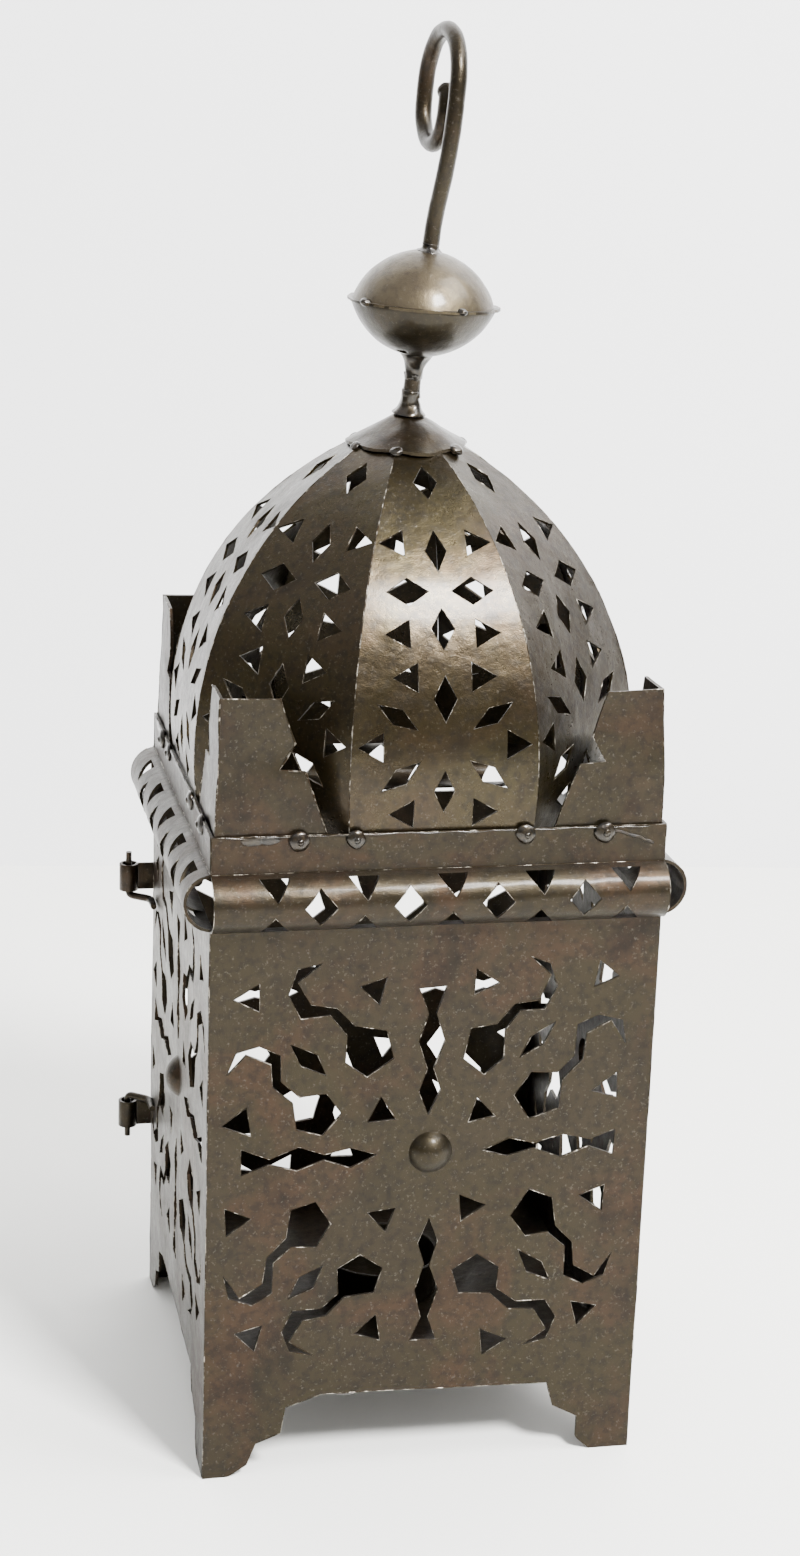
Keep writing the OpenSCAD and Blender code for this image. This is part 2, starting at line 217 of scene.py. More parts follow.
def bronzePaint(name, tones, rustAmount=0.5, oliveAmount=0.4, dentDepth=0.5, ripple=0.12, grainDepth=0.16,
                roughness=None, coat=None):
    paint = Paint(name)
    place = paint.node("ShaderNodeTexCoord", None, None, out=3)
    broad = paint.noise(place, 14.0, 3.0, 0.5, 0.6)
    cloud = paint.noise(place, 46.0, 5.0, 0.6, 0.4)
    mottle = paint.noise(place, 330.0, 3.0, 0.65)
    speck = paint.noise(place, 900.0, 2.0, 0.7)
    fine = paint.noise(place, 2600.0, 1.0, 0.5)
    upright = paint.node("ShaderNodeMapping", None, {"Vector": place, "Scale": (1.0, 1.0, 0.12)})
    streak = paint.noise(upright, 160.0, 3.0, 0.6)
    olive = broad.between(0.42, 0.66) * oliveAmount
    rust = (paint.noise(place, 24.0, 5.0, 0.65, 0.9) + 0.35 * cloud).between(0.62, 0.86) * rustAmount
    soot = (cloud + 0.3 * streak).between(0.66, 0.92) * 0.6
    colour = paint.blend(olive, (*tones["base"], 1), (*tones["olive"], 1))
    colour = paint.blend(rust, colour, (*tones["rust"], 1))
    colour = paint.blend(mottle.between(0.44, 0.68) * 0.5, colour, (*tones["dark"], 1))
    colour = paint.blend(soot, colour, (*tones["dark"], 1))
    colour = paint.blend(speck.between(0.58, 0.76) * 0.09, colour, (*tones["bare"], 1))
    base = roughness if roughness is not None else tones["roughness"]
    rough = base + 0.22 * (cloud - 0.5) + 0.20 * (mottle - 0.5) + 0.12 * (speck - 0.5) + 0.10 * rust
    lumps = paint.noise(place, 60.0, 3.0, 0.5)
    wave = paint.noise(place, 150.0, 2.0, 0.5)
    height = dentDepth * broad + 0.35 * dentDepth * lumps + ripple * wave
    bump = paint.node("ShaderNodeBump", None, {"Strength": 1.0, "Distance": 0.0022, "Height": height})
    grain = paint.node("ShaderNodeBump", None, {"Strength": grainDepth, "Distance": 0.0004,
                                                "Height": fine + 0.6 * speck + 0.8 * mottle, "Normal": bump})
    gloss = (coat if coat is not None else tones["coat"]) * (1 - 0.5 * soot)
    return paint.finish(Base_Color=colour, Metallic=tones["metallic"], Roughness=rough, Coat_Weight=gloss,
                        Coat_Roughness=tones["coatRoughness"], Normal=grain)


def bareEdge(name, tones):
    # burrs, filed edges and weld spatter, where the paint has rubbed through
    paint = Paint(name)
    place = paint.node("ShaderNodeTexCoord", None, None, out=3)
    worn = paint.noise(place, 380.0, 3.0, 0.6).between(0.48, 0.66)
    tint = paint.noise(place, 30.0, 3.0, 0.5).between(0.45, 0.70)
    colour = paint.blend(worn, (*tones["base"], 1), (*tones["bare"], 1))
    colour = paint.blend(tint * 0.35, colour, (*tones["rust"], 1))
    grain = paint.noise(place, 1500.0)
    bump = paint.node("ShaderNodeBump", None, {"Strength": 0.4, "Distance": 0.0004, "Height": grain})
    return paint.finish(Base_Color=colour, Metallic=0.9, Roughness=0.34 + 0.2 * (1 - worn), Normal=bump)


def weldMetal(name, tones):
    # lumpy weld under the same paint
    paint = Paint(name)
    place = paint.node("ShaderNodeTexCoord", None, None, out=3)
    lump = paint.noise(place, 420.0, 3.0, 0.6, 0.4)
    tint = paint.noise(place, 120.0, 3.0, 0.6).between(0.45, 0.7)
    colour = paint.blend(lump.between(0.35, 0.65), (*tones["dark"], 1), (*[1.15 * c for c in tones["base"]], 1))
    colour = paint.blend(tint * 0.3, colour, (*tones["rust"], 1))
    bump = paint.node("ShaderNodeBump", None, {"Strength": 0.5, "Distance": 0.0006, "Height": lump})
    return paint.finish(Base_Color=colour, Metallic=0.85, Roughness=0.28 + 0.14 * lump, Coat_Weight=0.6,
                        Coat_Roughness=0.15, Normal=bump)


wallPaint = bronzePaint("wallPaint", bronzeTones, rustAmount=0.7, oliveAmount=0.35, dentDepth=0.45)
domeTones = {**bronzeTones, "base": (0.0260, 0.0180, 0.0085), "olive": (0.0270, 0.0205, 0.0070)}
domePaint = bronzePaint("domePaint", domeTones, rustAmount=0.3, oliveAmount=0.9, dentDepth=0.7, ripple=0.10,
                        roughness=0.31, coat=0.16)
merlonPaint = bronzePaint("merlonPaint", bronzeTones, rustAmount=0.6, oliveAmount=0.3, dentDepth=0.8, ripple=0.2,
                          roughness=0.40, coat=0.12)
# the upper bowl's tones are a lighter copy of the bronze: a painted highlight for the sky it faces
litBallTones = {**bronzeTones, "base": (0.072, 0.055, 0.034), "olive": (0.068, 0.054, 0.027),
             "dark": (0.030, 0.023, 0.016)}
ballLitPaint = bronzePaint("ballLitPaint", litBallTones, rustAmount=0.3, oliveAmount=0.7, dentDepth=0.3, ripple=0.12,
                        roughness=0.40, coat=0.30)
# the lower bowl keeps the plain bronze as the darker copy of the pair: painted shade for its underside
ballShadedPaint = bronzePaint("ballShadedPaint", bronzeTones, rustAmount=0.2, oliveAmount=0.4, dentDepth=0.3, ripple=0.12,
                        roughness=0.36, coat=0.20)
barPaint = bronzePaint("barPaint", bronzeTones, rustAmount=0.4, oliveAmount=0.3, dentDepth=0.25, grainDepth=0.3,
                       roughness=0.34)
insidePaint = bronzePaint("insidePaint", bronzeTones, rustAmount=0.5, oliveAmount=0.2, dentDepth=0.5, roughness=0.5)
burrMetal = bareEdge("burrMetal", bronzeTones)
beadMetal = weldMetal("beadMetal", bronzeTones)
for part in nodes.values():
    part.data.materials.clear()
    part.data.materials.append(wallPaint)
print("finishes ready")



def sheetCopy(nodeName, pieceName):
    # a copy of a sheet with its points merged, to be dented and trimmed with burrs
    piece = nodes[nodeName].copy()
    piece.data = nodes[nodeName].data.copy()
    piece.name = pieceName
    for key in list(piece.keys()):
        del piece[key]
    piece.parent = None
    piece.matrix_world = Matrix.Identity(4)
    bpy.context.scene.collection.objects.link(piece)
    pick(piece)
    if piece.data.has_custom_normals:
        bpy.ops.mesh.customdata_custom_splitnormals_clear()
    editMode("VERT")
    bpy.ops.mesh.select_all(action="SELECT")
    bpy.ops.mesh.remove_doubles(threshold=0.000002)
    objectMode()
    return piece


def gridCuts(piece, normal, step):
    # cuts the sheet across so that it can bend between its corners
    reach = [normal.dot(v.co) for v in piece.data.vertices]
    low, high = min(reach), max(reach)
    pick(piece)
    editMode("VERT")
    at = low + step * 0.5
    while at < high:
        bpy.ops.mesh.select_all(action="SELECT")
        bpy.ops.mesh.bisect(plane_co=normal * at, plane_no=normal)
        at += step
    objectMode()


def outlineOf(piece, pieceName, away, thickness, cuts):
    # the cut outline of the sheet's outer face becomes a thin uneven burr
    facesAt = {}
    for p in piece.data.polygons:
        for key in p.edge_keys:
            facesAt.setdefault(key, []).append(p.normal.copy())

    def onOutline(e):
        pair = facesAt.get(e.key, [])
        return (len(pair) == 2 and pair[0].dot(pair[1]) < 0.35
                and max(pair[0].dot(away), pair[1].dot(away)) > 0.45)

    before = set(bpy.data.objects)
    choose(piece, "EDGE", onOutline)
    bpy.ops.mesh.duplicate()
    bpy.ops.mesh.separate(type="SELECTED")
    objectMode()
    line = [o for o in bpy.data.objects if o not in before][0]
    line.name = pieceName
    pick(line)
    editMode("VERT")
    bpy.ops.mesh.select_all(action="SELECT")
    bpy.ops.mesh.delete(type="ONLY_FACE")
    bpy.ops.mesh.select_all(action="SELECT")
    bpy.ops.mesh.dissolve_limited(angle_limit=math.radians(1))
    objectMode()
    for normal, step in cuts:
        gridCuts(line, normal, step)
    pick(line)
    bpy.ops.object.convert(target="CURVE")
    line.data.bevel_depth = thickness
    line.data.bevel_resolution = 1
    line.data.use_fill_caps = True
    for spline in line.data.splines:
        for point in spline.points:
            spot = point.co.xyz
            curl = 0.9 if noise.noise(spot * 1700) > 0.34 else 0.0
            point.radius = 0.4 + 0.8 * abs(noise.noise(spot * 310)) + curl
    bpy.ops.object.convert(target="MESH")
    smooth(line, 60)
    return line


wallSheets = {
    "frontWall": {"node": "front_panel", "body": "lantern", "turn": 0, "depth": 0.55, "shift": 0.3},
    "rightWall": {"node": "right_panel", "body": "lantern", "turn": 90, "depth": 0.6, "shift": 5.1},
    "leftWall": {"node": "left_panel", "body": "lantern", "turn": 270, "depth": 0.5, "shift": 2.2},
    "rearBand": {"node": "rear_band", "body": "lantern", "turn": 180, "depth": 0.35, "shift": 7.7},
    "rearSill": {"node": "rear_sill", "body": "lantern", "turn": 180, "depth": 0.0, "shift": 7.7},
    "doorLeaf": {"node": "door", "body": "door", "turn": 180, "depth": 0.12, "shift": 9.4},
}


def makeSheet(name, spec, material, thickness, step, size=0.045):
    turn = Matrix.Rotation(math.radians(spec["turn"]), 3, "Z")
    away, across = turn @ Vector((0, -1, 0)), turn @ Vector((1, 0, 0))
    sheet = sheetCopy(spec["node"], name)
    cuts = [(across, step), (Vector((0, 0, 1)), step)]
    burrs = outlineOf(sheet, name + "Burrs", away, thickness, cuts)
    for normal, width in cuts:
        gridCuts(sheet, normal, width)
    for piece in (sheet, burrs):
        dent(piece, size, spec["depth"] * mm, away, spec["shift"])
    smooth(sheet, 32)
    finishPiece(sheet, spec["body"], material, (spec["node"],))
    finishPiece(burrs, spec["body"], burrMetal)


for name, spec in wallSheets.items():
    makeSheet(name, spec, wallPaint, 0.16 * mm, 0.007)
print("walls and door ready")

merlonSheets = {"merlonFrontLeft": ("merlon_front_left", -45), "merlonFrontRight": ("merlon_front_right", 45),
                "merlonRearRight": ("merlon_rear_right", 135), "merlonRearLeft": ("merlon_rear_left", 225)}
for name, (nodeName, turn) in merlonSheets.items():
    makeSheet(name, {"node": nodeName, "body": "lantern", "turn": turn, "depth": 0.9, "shift": turn * 0.13},
              merlonPaint, 0.22 * mm, 0.005, 0.022)

goreSheets = ["front", "front_right", "right", "rear_right", "rear", "rear_left", "left", "front_left"]
for i, side in enumerate(goreSheets):
    name = "gore" + side.title().replace("_", "")
    makeSheet(name, {"node": "gore_" + side, "body": "lantern", "turn": 45 * i, "depth": 0.45, "shift": 3.3 * i},
              domePaint, 0.11 * mm, 0.007, 0.030)
print("dome and merlons ready")



finial = {"foot": 0.350, "leanRight": 4.5, "leanFront": 4.0, "planeTurn": -85.0}
leaning = (Matrix.Translation((0, 0, finial["foot"])) @ Matrix.Rotation(math.radians(finial["leanRight"]), 4, "Y")
           @ Matrix.Rotation(math.radians(finial["planeTurn"]), 4, "Z")
           @ Matrix.Rotation(math.radians(finial["leanFront"]), 4, "Y"))

capSheet = sheetCopy("dome_cap", "capSheet")
capCuts = [(Vector((1, 0, 0)), 0.004), (Vector((0, 1, 0)), 0.004)]
capBurrs = outlineOf(capSheet, "capBurrs", Vector((0, 0, 1)), 0.28 * mm, capCuts)
for normal, step in capCuts:
    gridCuts(capSheet, normal, step)
for piece in (capSheet, capBurrs):
    dent(piece, 0.011, 0.0007, Vector((0, 0, 1)), 4.0)
smooth(capSheet, 40)
finishPiece(capSheet, "lantern", domePaint, ("dome_cap",))
finishPiece(capBurrs, "lantern", burrMetal)

ball = {"seam": 0.039, "lean": 2.85, "radius": 0.0235, "depth": 0.017, "sheet": 0.001, "flange": 0.0016,
        "barHole": 0.0024, "vents": {1: (-0.0015, 0.0080), -1: (0.0060, 0.0075)}, "ventSize": 0.0019}


ballCentre = (leaning @ Matrix.Translation((0, 0, ball["seam"]))).to_translation()
onBar = (Matrix.Translation(ballCentre) @ Matrix.Rotation(math.radians(ball["lean"]), 4, "Y")
         @ Matrix.Rotation(math.radians(finial["planeTurn"]), 4, "Z"))


def makeBowl(name, nodeName, side):
    # a spun bowl with a ragged flange, punched with one small vent
    big = (ball["radius"] ** 2 + ball["depth"] ** 2) / (2 * ball["depth"])
    bpy.ops.object.select_all(action="DESELECT")
    bpy.ops.mesh.primitive_uv_sphere_add(segments=96, ring_count=80, radius=big, location=(0, 0, ball["depth"] - big))
    bowl = bpy.context.active_object
    bowl.name = name
    settle(bowl)
    editMode("VERT")
    bpy.ops.mesh.select_all(action="SELECT")
    bpy.ops.mesh.bisect(plane_co=(0, 0, 0), plane_no=(0, 0, 1), clear_inner=True)
    objectMode()
    points = bowl.data.vertices
    choose(bowl, "EDGE", lambda e: all(points[i].co.z < 0.00002 for i in e.vertices))
    grow = 1 + ball["flange"] / ball["radius"]
    for step in (0.35, 0.65):
        bpy.ops.mesh.extrude_region_move()
        bpy.ops.transform.resize(value=(1 + (grow - 1) * step, 1 + (grow - 1) * step, 1))
    objectMode()
    vent = Vector(ball["vents"][side])

    def punched(p):
        spot = p.center.xy
        return spot.length < ball["barHole"] or (spot - vent).length < ball["ventSize"]

    choose(bowl, "FACE", punched)
    bpy.ops.mesh.delete(type="FACE")
    objectMode()
    for v in bowl.data.vertices:
        out = Vector((v.co.x, v.co.y, 0))
        if out.length > ball["radius"] + 0.0002:
            # snipped by eye, then pinched together
            turn = out.normalized()
            v.co += turn * (0.0006 * noise.noise(turn * 2.4 + Vector((side, 0, 0))) + 0.0004 * noise.noise(turn * 9))
            v.co.z += 0.00035 * (noise.noise(turn * 3.1) + 0.2)
    recalculate(bowl)
    applyModifier(bowl, "SOLIDIFY", thickness=ball["sheet"] * 0.8, offset=-1.0)
    dent(bowl, 0.012, 0.00028, None, 1.5 * side)
    if side < 0:
        settle(bowl, Matrix.Rotation(math.pi, 4, "X"))
    settle(bowl, onBar)
    smooth(bowl, 45)
    # the upper bowl takes the painted-light copy, the lower bowl the painted-shade copy
    finishPiece(bowl, "lantern", ballLitPaint if side > 0 else ballShadedPaint, (nodeName,))
    return bowl


makeBowl("ballTop", "ball_upper_bowl", 1)
makeBowl("ballBottom", "ball_lower_bowl", -1)

hookBar = {"thick": 0.0056, "start": -0.001,
           # straight length, bend radius, bend angle, turn about the bar before the bend
           "bends": [(61, 40, 20, 0), (0, 70, 24, 180), (7, 17, 180, 0), (6, 13.5, 90, 0), (0, 11, 95, 0),
                     (2.5, 4, 70, 0)]}


def bentLine(bends, start):
    line, at = [], Matrix.Translation((0, 0, start))
    for straight, radius, angle, turn in bends:
        at = at @ Matrix.Rotation(math.radians(turn), 4, "Z")
        count = max(1, int(straight / 2))
        for i in range(count):
            line.append((at @ Matrix.Translation((0, 0, straight * mm * i / count))).to_translation())
        at = at @ Matrix.Translation((0, 0, straight * mm))
        steps = max(4, int(angle / 5))
        centre = Matrix.Translation((radius * mm, 0, 0))
        for i in range(steps):
            line.append((at @ centre @ Matrix.Rotation(math.radians(angle * i / steps), 4, "Y")
                         @ centre.inverted()).to_translation())
        at = at @ centre @ Matrix.Rotation(math.radians(angle), 4, "Y") @ centre.inverted()
    line.append(at.to_translation())
    return line


def barAlong(name, points, thick, swell):
    # a round bar drawn along the points, a little thicker or thinner where swell says
    data = bpy.data.curves.new(name, "CURVE")
    data.dimensions = "3D"
    spline = data.splines.new("POLY")
    spline.points.add(len(points) - 1)
    for i, p in enumerate(points):
        spline.points[i].co = (*p, 1)
        spline.points[i].radius = swell(i / (len(points) - 1), p)
    data.bevel_depth = thick / 2
    data.bevel_resolution = 5
    data.use_fill_caps = True
    bar = bpy.data.objects.new(name, data)
    bpy.context.scene.collection.objects.link(bar)
    pick(bar)
    bpy.ops.object.convert(target="MESH")
    bar = bpy.context.active_object
    recalculate(bar)
    return bar


def hammered(share, spot):
    beaten = 0.03 * noise.noise(spot * 160)
    if share > 0.985:
        return 0.84
    return 1 + beaten + (0.10 if share > 0.95 else 0.0)


hookPiece = barAlong("hookPiece", bentLine(hookBar["bends"], hookBar["start"]), hookBar["thick"], hammered)
dent(hookPiece, 0.006, 0.00012, None, 2.0)
settle(hookPiece, leaning)
smooth(hookPiece, 50)
finishPiece(hookPiece, "lantern", barPaint, ("hook",))
print("cap, ball and hook ready")



def weldCollar(name, low, height, wide, narrow, shift):
    # a rough cone of weld run round the bar
    bpy.ops.object.select_all(action="DESELECT")
    bpy.ops.mesh.primitive_cone_add(vertices=32, radius1=wide, radius2=narrow, depth=height,
                                    location=(0, 0, low + height / 2))
    collar = bpy.context.active_object
    collar.name = name
    settle(collar)
    gridCuts(collar, Vector((0, 0, 1)), height / 7)
    for v in collar.data.vertices:
        share = (v.co.z - low) / height
        pinch = 1 - 0.30 * math.sin(math.pi * share)      # hollow in the middle, as weld flows
        v.co.x *= pinch
        v.co.y *= pinch
    collar.data.update()
    dent(collar, 0.0034, 0.0008, None, shift)
    applyModifier(collar, "SUBSURF", levels=1, render_levels=1)
    smooth(collar, 70)
    return collar


def weldBlob(name, size, flat, shift, rough=0.22):
    # one lump of weld, lying on the plane z = 0
    bpy.ops.object.select_all(action="DESELECT")
    bpy.ops.mesh.primitive_ico_sphere_add(subdivisions=4, radius=size)
    blob = bpy.context.active_object
    blob.name = name
    settle(blob)
    dent(blob, size * 1.3, size * rough, None, shift)
    for v in blob.data.vertices:
        v.co.z = v.co.z * flat + size * flat * 0.2
    blob.data.update()
    smooth(blob, 80)
    return blob


# height above the cap, length, radius below, radius above, and where in the noise it is beaten
stem = {"capCollar": (0.0012, 0.0085, 0.0062, 0.0032, 0.4), "underBall": (0.0130, 0.0092, 0.0033, 0.0062, 2.9),
        "neckRun": (0.0070, 0.0085, 0.0036, 0.0033, 6.2), "overBall": (0.0555, 0.0030, 0.0048, 0.0031, 8.8)}
stemWelds = joinPieces([weldCollar(name, *size) for name, size in stem.items()], "stemWelds")
settle(stemWelds, leaning)
finishPiece(stemWelds, "lantern", beadMetal, ("stem_welds",))

bead = {"spots": [(-0.047, 0.0034), (-0.0285, 0.0031), (0.0275, 0.0032), (0.0540, 0.0035)], "proud": 0.45,
        "smears": [(-0.0620, 0.0024), (-0.0565, 0.0021)], "wall": 0.0750, "height": 0.2284}
seam = {"thick": 0.0009, "half": 0.0705, "step": 0.0015, "wander": 0.0005}
lumps = []
for side in range(4):
    around = Matrix.Rotation(math.radians(90 * side), 4, "Z")
    for k, (x, size) in enumerate(bead["spots"]):
        lump = weldBlob("rimWeld", size, bead["proud"], 3.1 * side + 1.3 * k, 0.14)
        settle(lump, around @ Matrix.Translation((x, -bead["wall"], bead["height"] - 0.45 * size))
               @ Matrix.Rotation(math.radians(90), 4, "X") @ Matrix.Rotation(0.8 * k, 4, "Z"))
        pip = weldBlob("rimPip", 0.34 * size, 0.7, 2.2 * side + 0.9 * k)
        settle(pip, around @ Matrix.Rotation(math.radians(90), 4, "X")
               @ Matrix.Translation((x + 0.0003, bead["height"] - 0.45 * size, bead["wall"] + 0.42 * size)))
        lumps += [lump, pip]
    for k, (x, size) in enumerate(bead["smears"]):
        smear = weldBlob("rimSmear", size, 0.16, 5.7 * side + 2.1 * k)
        settle(smear, around @ Matrix.Translation((x, -bead["wall"], bead["height"] - 0.0009))
               @ Matrix.Rotation(math.radians(90), 4, "X") @ Matrix.Diagonal((1.6, 0.7, 1, 1)))
        lumps.append(smear)
rimWelds = joinPieces(lumps, "rimWelds")
finishPiece(rimWelds, "lantern", beadMetal, ("rim_welds",))


def seamWidth(share, spot):
    return 0.30 + 1.1 * max(0.0, noise.noise(spot * 110) + 0.15) + 0.25 * abs(noise.noise(spot * 700))


runs = []
for side in range(4):
    around = Matrix.Rotation(math.radians(90 * side), 4, "Z")
    points = []
    for k in range(int(2 * seam["half"] / seam["step"]) + 1):
        x = -seam["half"] + k * seam["step"]
        spot = Vector((x * 120, 7.7 * side, 0.3))
        lift = 0.0001 + seam["wander"] * noise.noise(spot)
        points.append(Vector((x, -bead["wall"] - 0.0001, bead["height"] + lift)))
    run = barAlong("seamRun", points, seam["thick"], seamWidth)
    settle(run, around)
    # the last of the run lies in a torn fold under the corner
    fold = [Vector((0.0565 + 0.0016 * k, -bead["wall"] + 0.0002, bead["height"] - 0.0006 - 0.00055 * k
                    + 0.0007 * noise.noise(Vector((k * 0.9, side * 3.0, 0.7))))) for k in range(10)]
    tear = barAlong("seamTear", fold, 0.0017, lambda share, spot: 0.5 + 0.9 * abs(noise.noise(spot * 420)))
    settle(tear, around)
    runs += [run, tear]
seamRuns = joinPieces(runs, "seamRuns")
smooth(seamRuns, 60)
finishPiece(seamRuns, "lantern", beadMetal)

floorBead = {"places": (-0.026, 0.024), "size": 0.0030, "proud": 0.6, "wall": 0.0718, "plate": 0.0290}
lumps = []
for side in range(4):
    around = Matrix.Rotation(math.radians(90 * side), 4, "Z")
    for k, x in enumerate(floorBead["places"]):
        lump = weldBlob("floorWeld", floorBead["size"], floorBead["proud"], 7.9 * side + 1.9 * k)
        settle(lump, around @ Matrix.Translation((x, -floorBead["wall"], floorBead["plate"]))
               @ Matrix.Rotation(math.pi, 4, "X") @ Matrix.Diagonal((1.8, 0.9, 1, 1)))
        lumps.append(lump)
floorWelds = joinPieces(lumps, "floorWelds")
finishPiece(floorWelds, "lantern", beadMetal, ("floor_welds",))

seamWelds = {"ball": [(-68, 0.0019), (14, 0.0017), (120, 0.0018), (210, 0.0017)],
             "cap": [(-112, 0.0022), (-48, 0.0024), (10, 0.0018), (75, 0.0020), (140, 0.0021), (200, 0.0019)]}
lumps = []
for k, (turn, size) in enumerate(seamWelds["ball"]):
    lump = weldBlob("seamWeld", size, 0.7, 11.3 + k)
    settle(lump, onBar @ Matrix.Rotation(math.radians(turn), 4, "Z") @ Matrix.Translation((0.0243, 0, -0.0002)))
    lumps.append(lump)
for k, (turn, size) in enumerate(seamWelds["cap"]):
    lump = weldBlob("capWeld", size, 0.55, 17.9 + k)
    settle(lump, Matrix.Rotation(math.radians(turn), 4, "Z") @ Matrix.Translation((0.0200, 0, 0.3416))
           @ Matrix.Rotation(math.radians(30), 4, "Y"))
    lumps.append(lump)
tackWelds = joinPieces(lumps, "tackWelds")
finishPiece(tackWelds, "lantern", beadMetal)
print("welds ready")



floorPiece = sheetCopy("floor_plate", "floorPlate")
gridCuts(floorPiece, Vector((1, 0, 0)), 0.01)
gridCuts(floorPiece, Vector((0, 1, 0)), 0.01)
dent(floorPiece, 0.05, 0.0003, Vector((0, 0, 1)), 6.6)
smooth(floorPiece, 35)
finishPiece(floorPiece, "lantern", insidePaint, ("floor_plate",))

cup = {"inside": 0.02025, "wall": 0.0010, "low": 0.0300, "depth": 0.013, "lip": 0.0006, "foot": 0.0012}


def makeCup():
    # a pressed dish with a rounded foot and a turned lip
    bpy.ops.object.select_all(action="DESELECT")
    outer = cup["inside"] + cup["wall"]
    bpy.ops.mesh.primitive_cylinder_add(vertices=96, radius=outer, depth=cup["depth"],
                                        location=(0, 0, cup["low"] + cup["depth"] / 2))
    dish = bpy.context.active_object
    dish.name = "candleCup"
    settle(dish)
    choose(dish, "FACE", lambda p: p.normal.z > 0.9)
    bpy.ops.mesh.delete(type="FACE")
    objectMode()
    choose(dish, "EDGE", lambda e: all(dish.data.vertices[i].co.z < cup["low"] + 0.0001 for i in e.vertices))
    bpy.ops.mesh.bevel(offset=cup["foot"], segments=4, affect="EDGES")
    objectMode()
    rim = cup["low"] + cup["depth"] - 0.0001
    choose(dish, "EDGE", lambda e: all(dish.data.vertices[i].co.z > rim for i in e.vertices))
    grow = 1 + cup["lip"] / outer
    bpy.ops.mesh.extrude_region_move()
    bpy.ops.transform.resize(value=(grow, grow, 1))
    objectMode()
    applyModifier(dish, "SOLIDIFY", thickness=cup["wall"], offset=-1.0)
    applyModifier(dish, "BEVEL", width=0.0002, segments=2, limit_method="ANGLE", angle_limit=math.radians(50))
    dent(dish, 0.02, 0.00012, None, 3.0)
    smooth(dish, 40)
    finishPiece(dish, "lantern", insidePaint, ("candle_cup",))


makeCup()

hinge = {"x": -0.084, "y": 0.0758, "lows": (0.1604, 0.0649), "height": 0.0103, "outer": 0.0035, "sheet": 0.0010,
         "gap": 24, "strapEnd": -0.056, "wire": 0.0027, "reach": (0.00765, -0.0058), "tail": 0.009, "tip": 0.0044,
         "drop": 0.00215, "elbow": 0.0022}


def makeHingeLeaf(low):
    # a strip of sheet flattened on the door and rolled round the pin
    bpy.ops.object.select_all(action="DESELECT")
    middle = low + hinge["height"] / 2
    inner = hinge["outer"] - hinge["sheet"]
    bpy.ops.mesh.primitive_plane_add(size=1, location=(hinge["x"] + inner + hinge["sheet"] / 2, hinge["y"], middle),
                                     rotation=(math.radians(90), 0, 0))
    barrel = bpy.context.active_object
    barrel.scale = (hinge["sheet"], hinge["height"], 1)
    settle(barrel)
    editMode("FACE")
    bpy.ops.mesh.select_all(action="SELECT")
    bpy.ops.mesh.spin(steps=36, angle=math.radians(360 - hinge["gap"]), center=(hinge["x"], hinge["y"], middle),
                      axis=(0, 0, 1))
    objectMode()
    recalculate(barrel)
    bpy.ops.object.select_all(action="DESELECT")
    length = hinge["strapEnd"] - (hinge["x"] + inner + 0.0002)
    bpy.ops.mesh.primitive_cube_add(size=1, location=(hinge["strapEnd"] - length / 2, hinge["y"], middle))
    strap = bpy.context.active_object
    strap.scale = (length, hinge["sheet"], hinge["height"])
    settle(strap)

    def endCorner(e):
        ends = [strap.data.vertices[i].co for i in e.vertices]
        return all(c.x > hinge["strapEnd"] - 0.0001 for c in ends) and abs(ends[0].y - ends[1].y) > 0.0005

    choose(strap, "EDGE", endCorner)
    bpy.ops.mesh.bevel(offset=0.0025, segments=3)
    objectMode()
    gridCuts(strap, Vector((1, 0, 0)), 0.003)
    leaf = joinPieces([barrel, strap], "hingeLeaf")
    dent(leaf, 0.008, 0.00012, Vector((0, 1, 0)), low * 90)
    applyModifier(leaf, "BEVEL", width=0.00014, segments=2, limit_method="ANGLE", angle_limit=math.radians(45))
    smooth(leaf, 40)
    return leaf


hingeLeaves = joinPieces([makeHingeLeaf(low) for low in hinge["lows"]], "hingeLeaves")
finishPiece(hingeLeaves, "door", barPaint, ("hinge_straps",))


def rounded(corners, radius):
    # the corners of a line turned into short bends
    line = [corners[0]]
    for before, corner, after in zip(corners, corners[1:], corners[2:]):
        back, on = (before - corner).normalized(), (after - corner).normalized()
        first, last = corner + back * radius, corner + on * radius
        for i in range(7):
            t = i / 6
            line.append(first * (1 - t) ** 2 + corner * 2 * t * (1 - t) + last * t * t)
    return line + [corners[-1]]


wires = []
for low, way in ((hinge["lows"][0], 1), (hinge["lows"][1], -1)):
    face = low if way > 0 else low + hinge["height"]
    far = face + way * (hinge["height"] + hinge["tip"])
    near = face - way * hinge["drop"]
    post = Vector((hinge["x"], hinge["y"], 0))
    wallSpot = post + Vector((*hinge["reach"], 0))
    corners = [post + Vector((0, 0, far)), post + Vector((0, 0, near)), wallSpot + Vector((0, 0, near)),
               wallSpot + Vector((0, -hinge["tail"], near))]
    wire = barAlong("hingeWire", rounded(corners, hinge["elbow"]), hinge["wire"],
                    lambda share, spot: 0.8 if share in (0.0, 1.0) else 1 + 0.015 * noise.noise(spot * 300))
    wires.append(wire)
hingeWires = joinPieces(wires, "hingeWires")
smooth(hingeWires, 50)
finishPiece(hingeWires, "lantern", barPaint, ("hinge_pins",))

for nodeName, pieceName, body, width in (("latch_button", "latchButton", "latch", 0.0002),
                                         ("latch_rivet", "latchRivet", "lantern", 0.0003)):
    piece = sheetCopy(nodeName, pieceName)
    applyModifier(piece, "BEVEL", width=width, segments=2, limit_method="ANGLE", angle_limit=math.radians(50))
    smooth(piece, 40)
    finishPiece(piece, body, barPaint, (nodeName,))
print("floor, cup, hinges and catch ready")


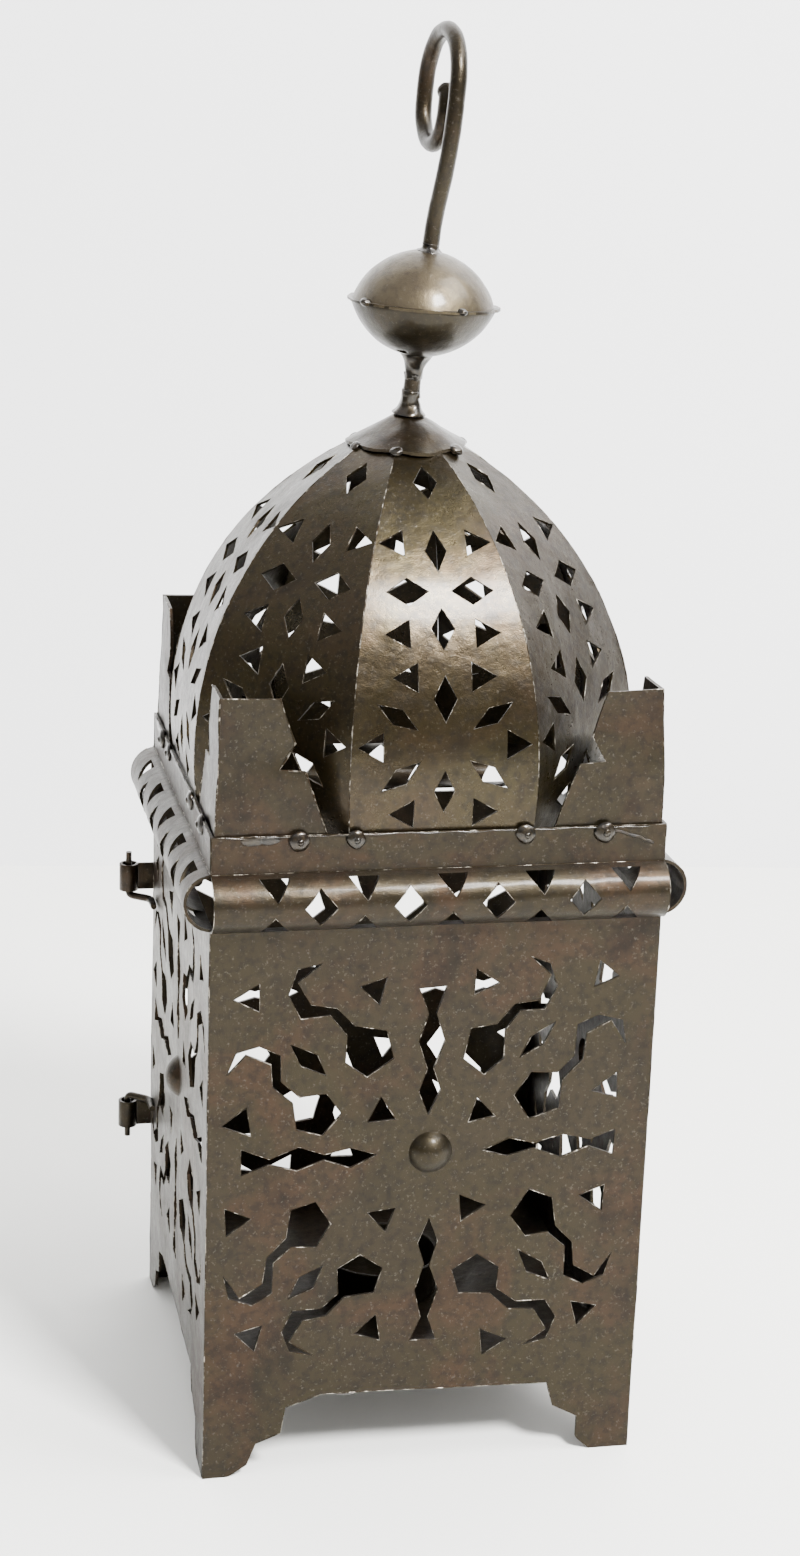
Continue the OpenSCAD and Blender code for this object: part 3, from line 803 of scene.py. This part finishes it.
camera = bpy.data.objects.new("camera", bpy.data.cameras.new("camera"))
bpy.context.scene.collection.objects.link(camera)
cameraSpec = {"place": (-0.193, -0.884, 0.495), "yaw": 12.42, "pitch": 16.66, "roll": 2.01, "lens": 62.86}
yaw, pitch, roll = (math.radians(cameraSpec[k]) for k in ("yaw", "pitch", "roll"))
ahead = Vector((math.sin(yaw) * math.cos(pitch), math.cos(yaw) * math.cos(pitch), -math.sin(pitch)))
flatRight = Vector((math.cos(yaw), -math.sin(yaw), 0))
flatUp = flatRight.cross(ahead)
right = flatRight * math.cos(roll) + flatUp * math.sin(roll)
up = flatUp * math.cos(roll) - flatRight * math.sin(roll)
camera.matrix_world = Matrix.Translation(cameraSpec["place"]) @ Matrix((right, up, -ahead)).transposed().to_4x4()
camera.data.sensor_fit = "VERTICAL"
camera.data.sensor_height = 36
camera.data.lens = cameraSpec["lens"]
bpy.context.scene.camera = camera

studio = {"floorHalf": 6.0, "wallHalf": 1.6, "wallY": 0.573, "wallTurn": -6.55, "wallHeight": 2.5,
          "wallTone": (0.86, 0.86, 0.87), "floorTone": (0.84, 0.835, 0.80), "roughness": 0.75}


def plainPaint(name, colour, oneSided=False):
    paint = Paint(name)
    place = paint.node("ShaderNodeTexCoord", None, None, out=3)
    cloud = paint.noise(place, 1.6, 2.0, 0.5)
    tone = paint.blend(cloud.between(0.3, 0.7), (*[c * 0.985 for c in colour], 1), (*colour, 1))
    shader = paint.node("ShaderNodeBsdfPrincipled", None, {"Base Color": tone, "Roughness": studio["roughness"]})
    if oneSided:
        behind = paint.node("ShaderNodeNewGeometry", out="Backfacing")
        clear = paint.node("ShaderNodeBsdfTransparent")
        shader = paint.node("ShaderNodeMixShader", None, {0: behind, 1: shader, 2: clear})
    paint.node("ShaderNodeOutputMaterial", None, {"Surface": shader})
    return paint.material


def makeStudio():
    # a wide table, and a backdrop that only shows from the side it faces
    bpy.ops.object.select_all(action="DESELECT")
    bpy.ops.mesh.primitive_plane_add(size=2 * studio["floorHalf"])
    table = bpy.context.active_object
    table.name = "studioTable"
    table.data.materials.append(plainPaint("tablePaint", studio["floorTone"]))
    bpy.ops.object.select_all(action="DESELECT")
    bpy.ops.mesh.primitive_plane_add(size=1, location=(0, 0, studio["wallHeight"] / 2),
                                     rotation=(math.radians(90), 0, 0))
    backdrop = bpy.context.active_object
    backdrop.name = "studioBackdrop"
    backdrop.scale = (2 * studio["wallHalf"], studio["wallHeight"], 1)
    settle(backdrop)
    settle(backdrop, Matrix.Translation((0, studio["wallY"], 0))
           @ Matrix.Rotation(math.radians(studio["wallTurn"]), 4, "Z"))
    backdrop.data.materials.append(plainPaint("backdropPaint", studio["wallTone"], True))


makeStudio()

# a room that is pale overhead and dim and warm near the floor
room = {"pale": (0.97, 0.98, 1.0), "low": (0.25, 0.24, 0.205), "up": (0, 0, 1), "grade": (0.12, 0.62),
        "strength": 1.4}


def makeRoom():
    world = bpy.data.worlds.new("studioRoom")
    bpy.context.scene.world = world
    sky = Paint("studioRoom", world)
    way = sky.node("ShaderNodeTexCoord", None, None, out=0)
    rise = sky.node("ShaderNodeVectorMath", {"operation": "DOT_PRODUCT"}, {0: way, 1: room["up"]}, out=1)
    colour = sky.blend(rise.between(*room["grade"]), (*room["low"], 1), (*room["pale"], 1))
    light = sky.node("ShaderNodeBackground", None, {"Color": colour, "Strength": room["strength"]})
    sky.node("ShaderNodeOutputWorld", None, {"Surface": light})


makeRoom()

lamps = {
    "keySoftbox": {"place": (0.52, -1.15, 1.55), "aim": (0, 0, 0.25), "size": (0.40, 0.40), "power": 140},
    "wallWash": {"place": (1.4, -0.4, 2.2), "aim": (0.2, 0.6, 0.2), "size": (1.2, 1.2), "power": 75},
}
for name, spec in lamps.items():
    data = bpy.data.lights.new(name, "AREA")
    data.shape = "RECTANGLE"
    data.size, data.size_y = spec["size"]
    data.energy = spec["power"]
    lamp = bpy.data.objects.new(name, data)
    bpy.context.scene.collection.objects.link(lamp)
    lamp.location = spec["place"]
    lamp.rotation_euler = (Vector(spec["aim"]) - Vector(spec["place"])).to_track_quat("-Z", "Y").to_euler()
print("studio ready")
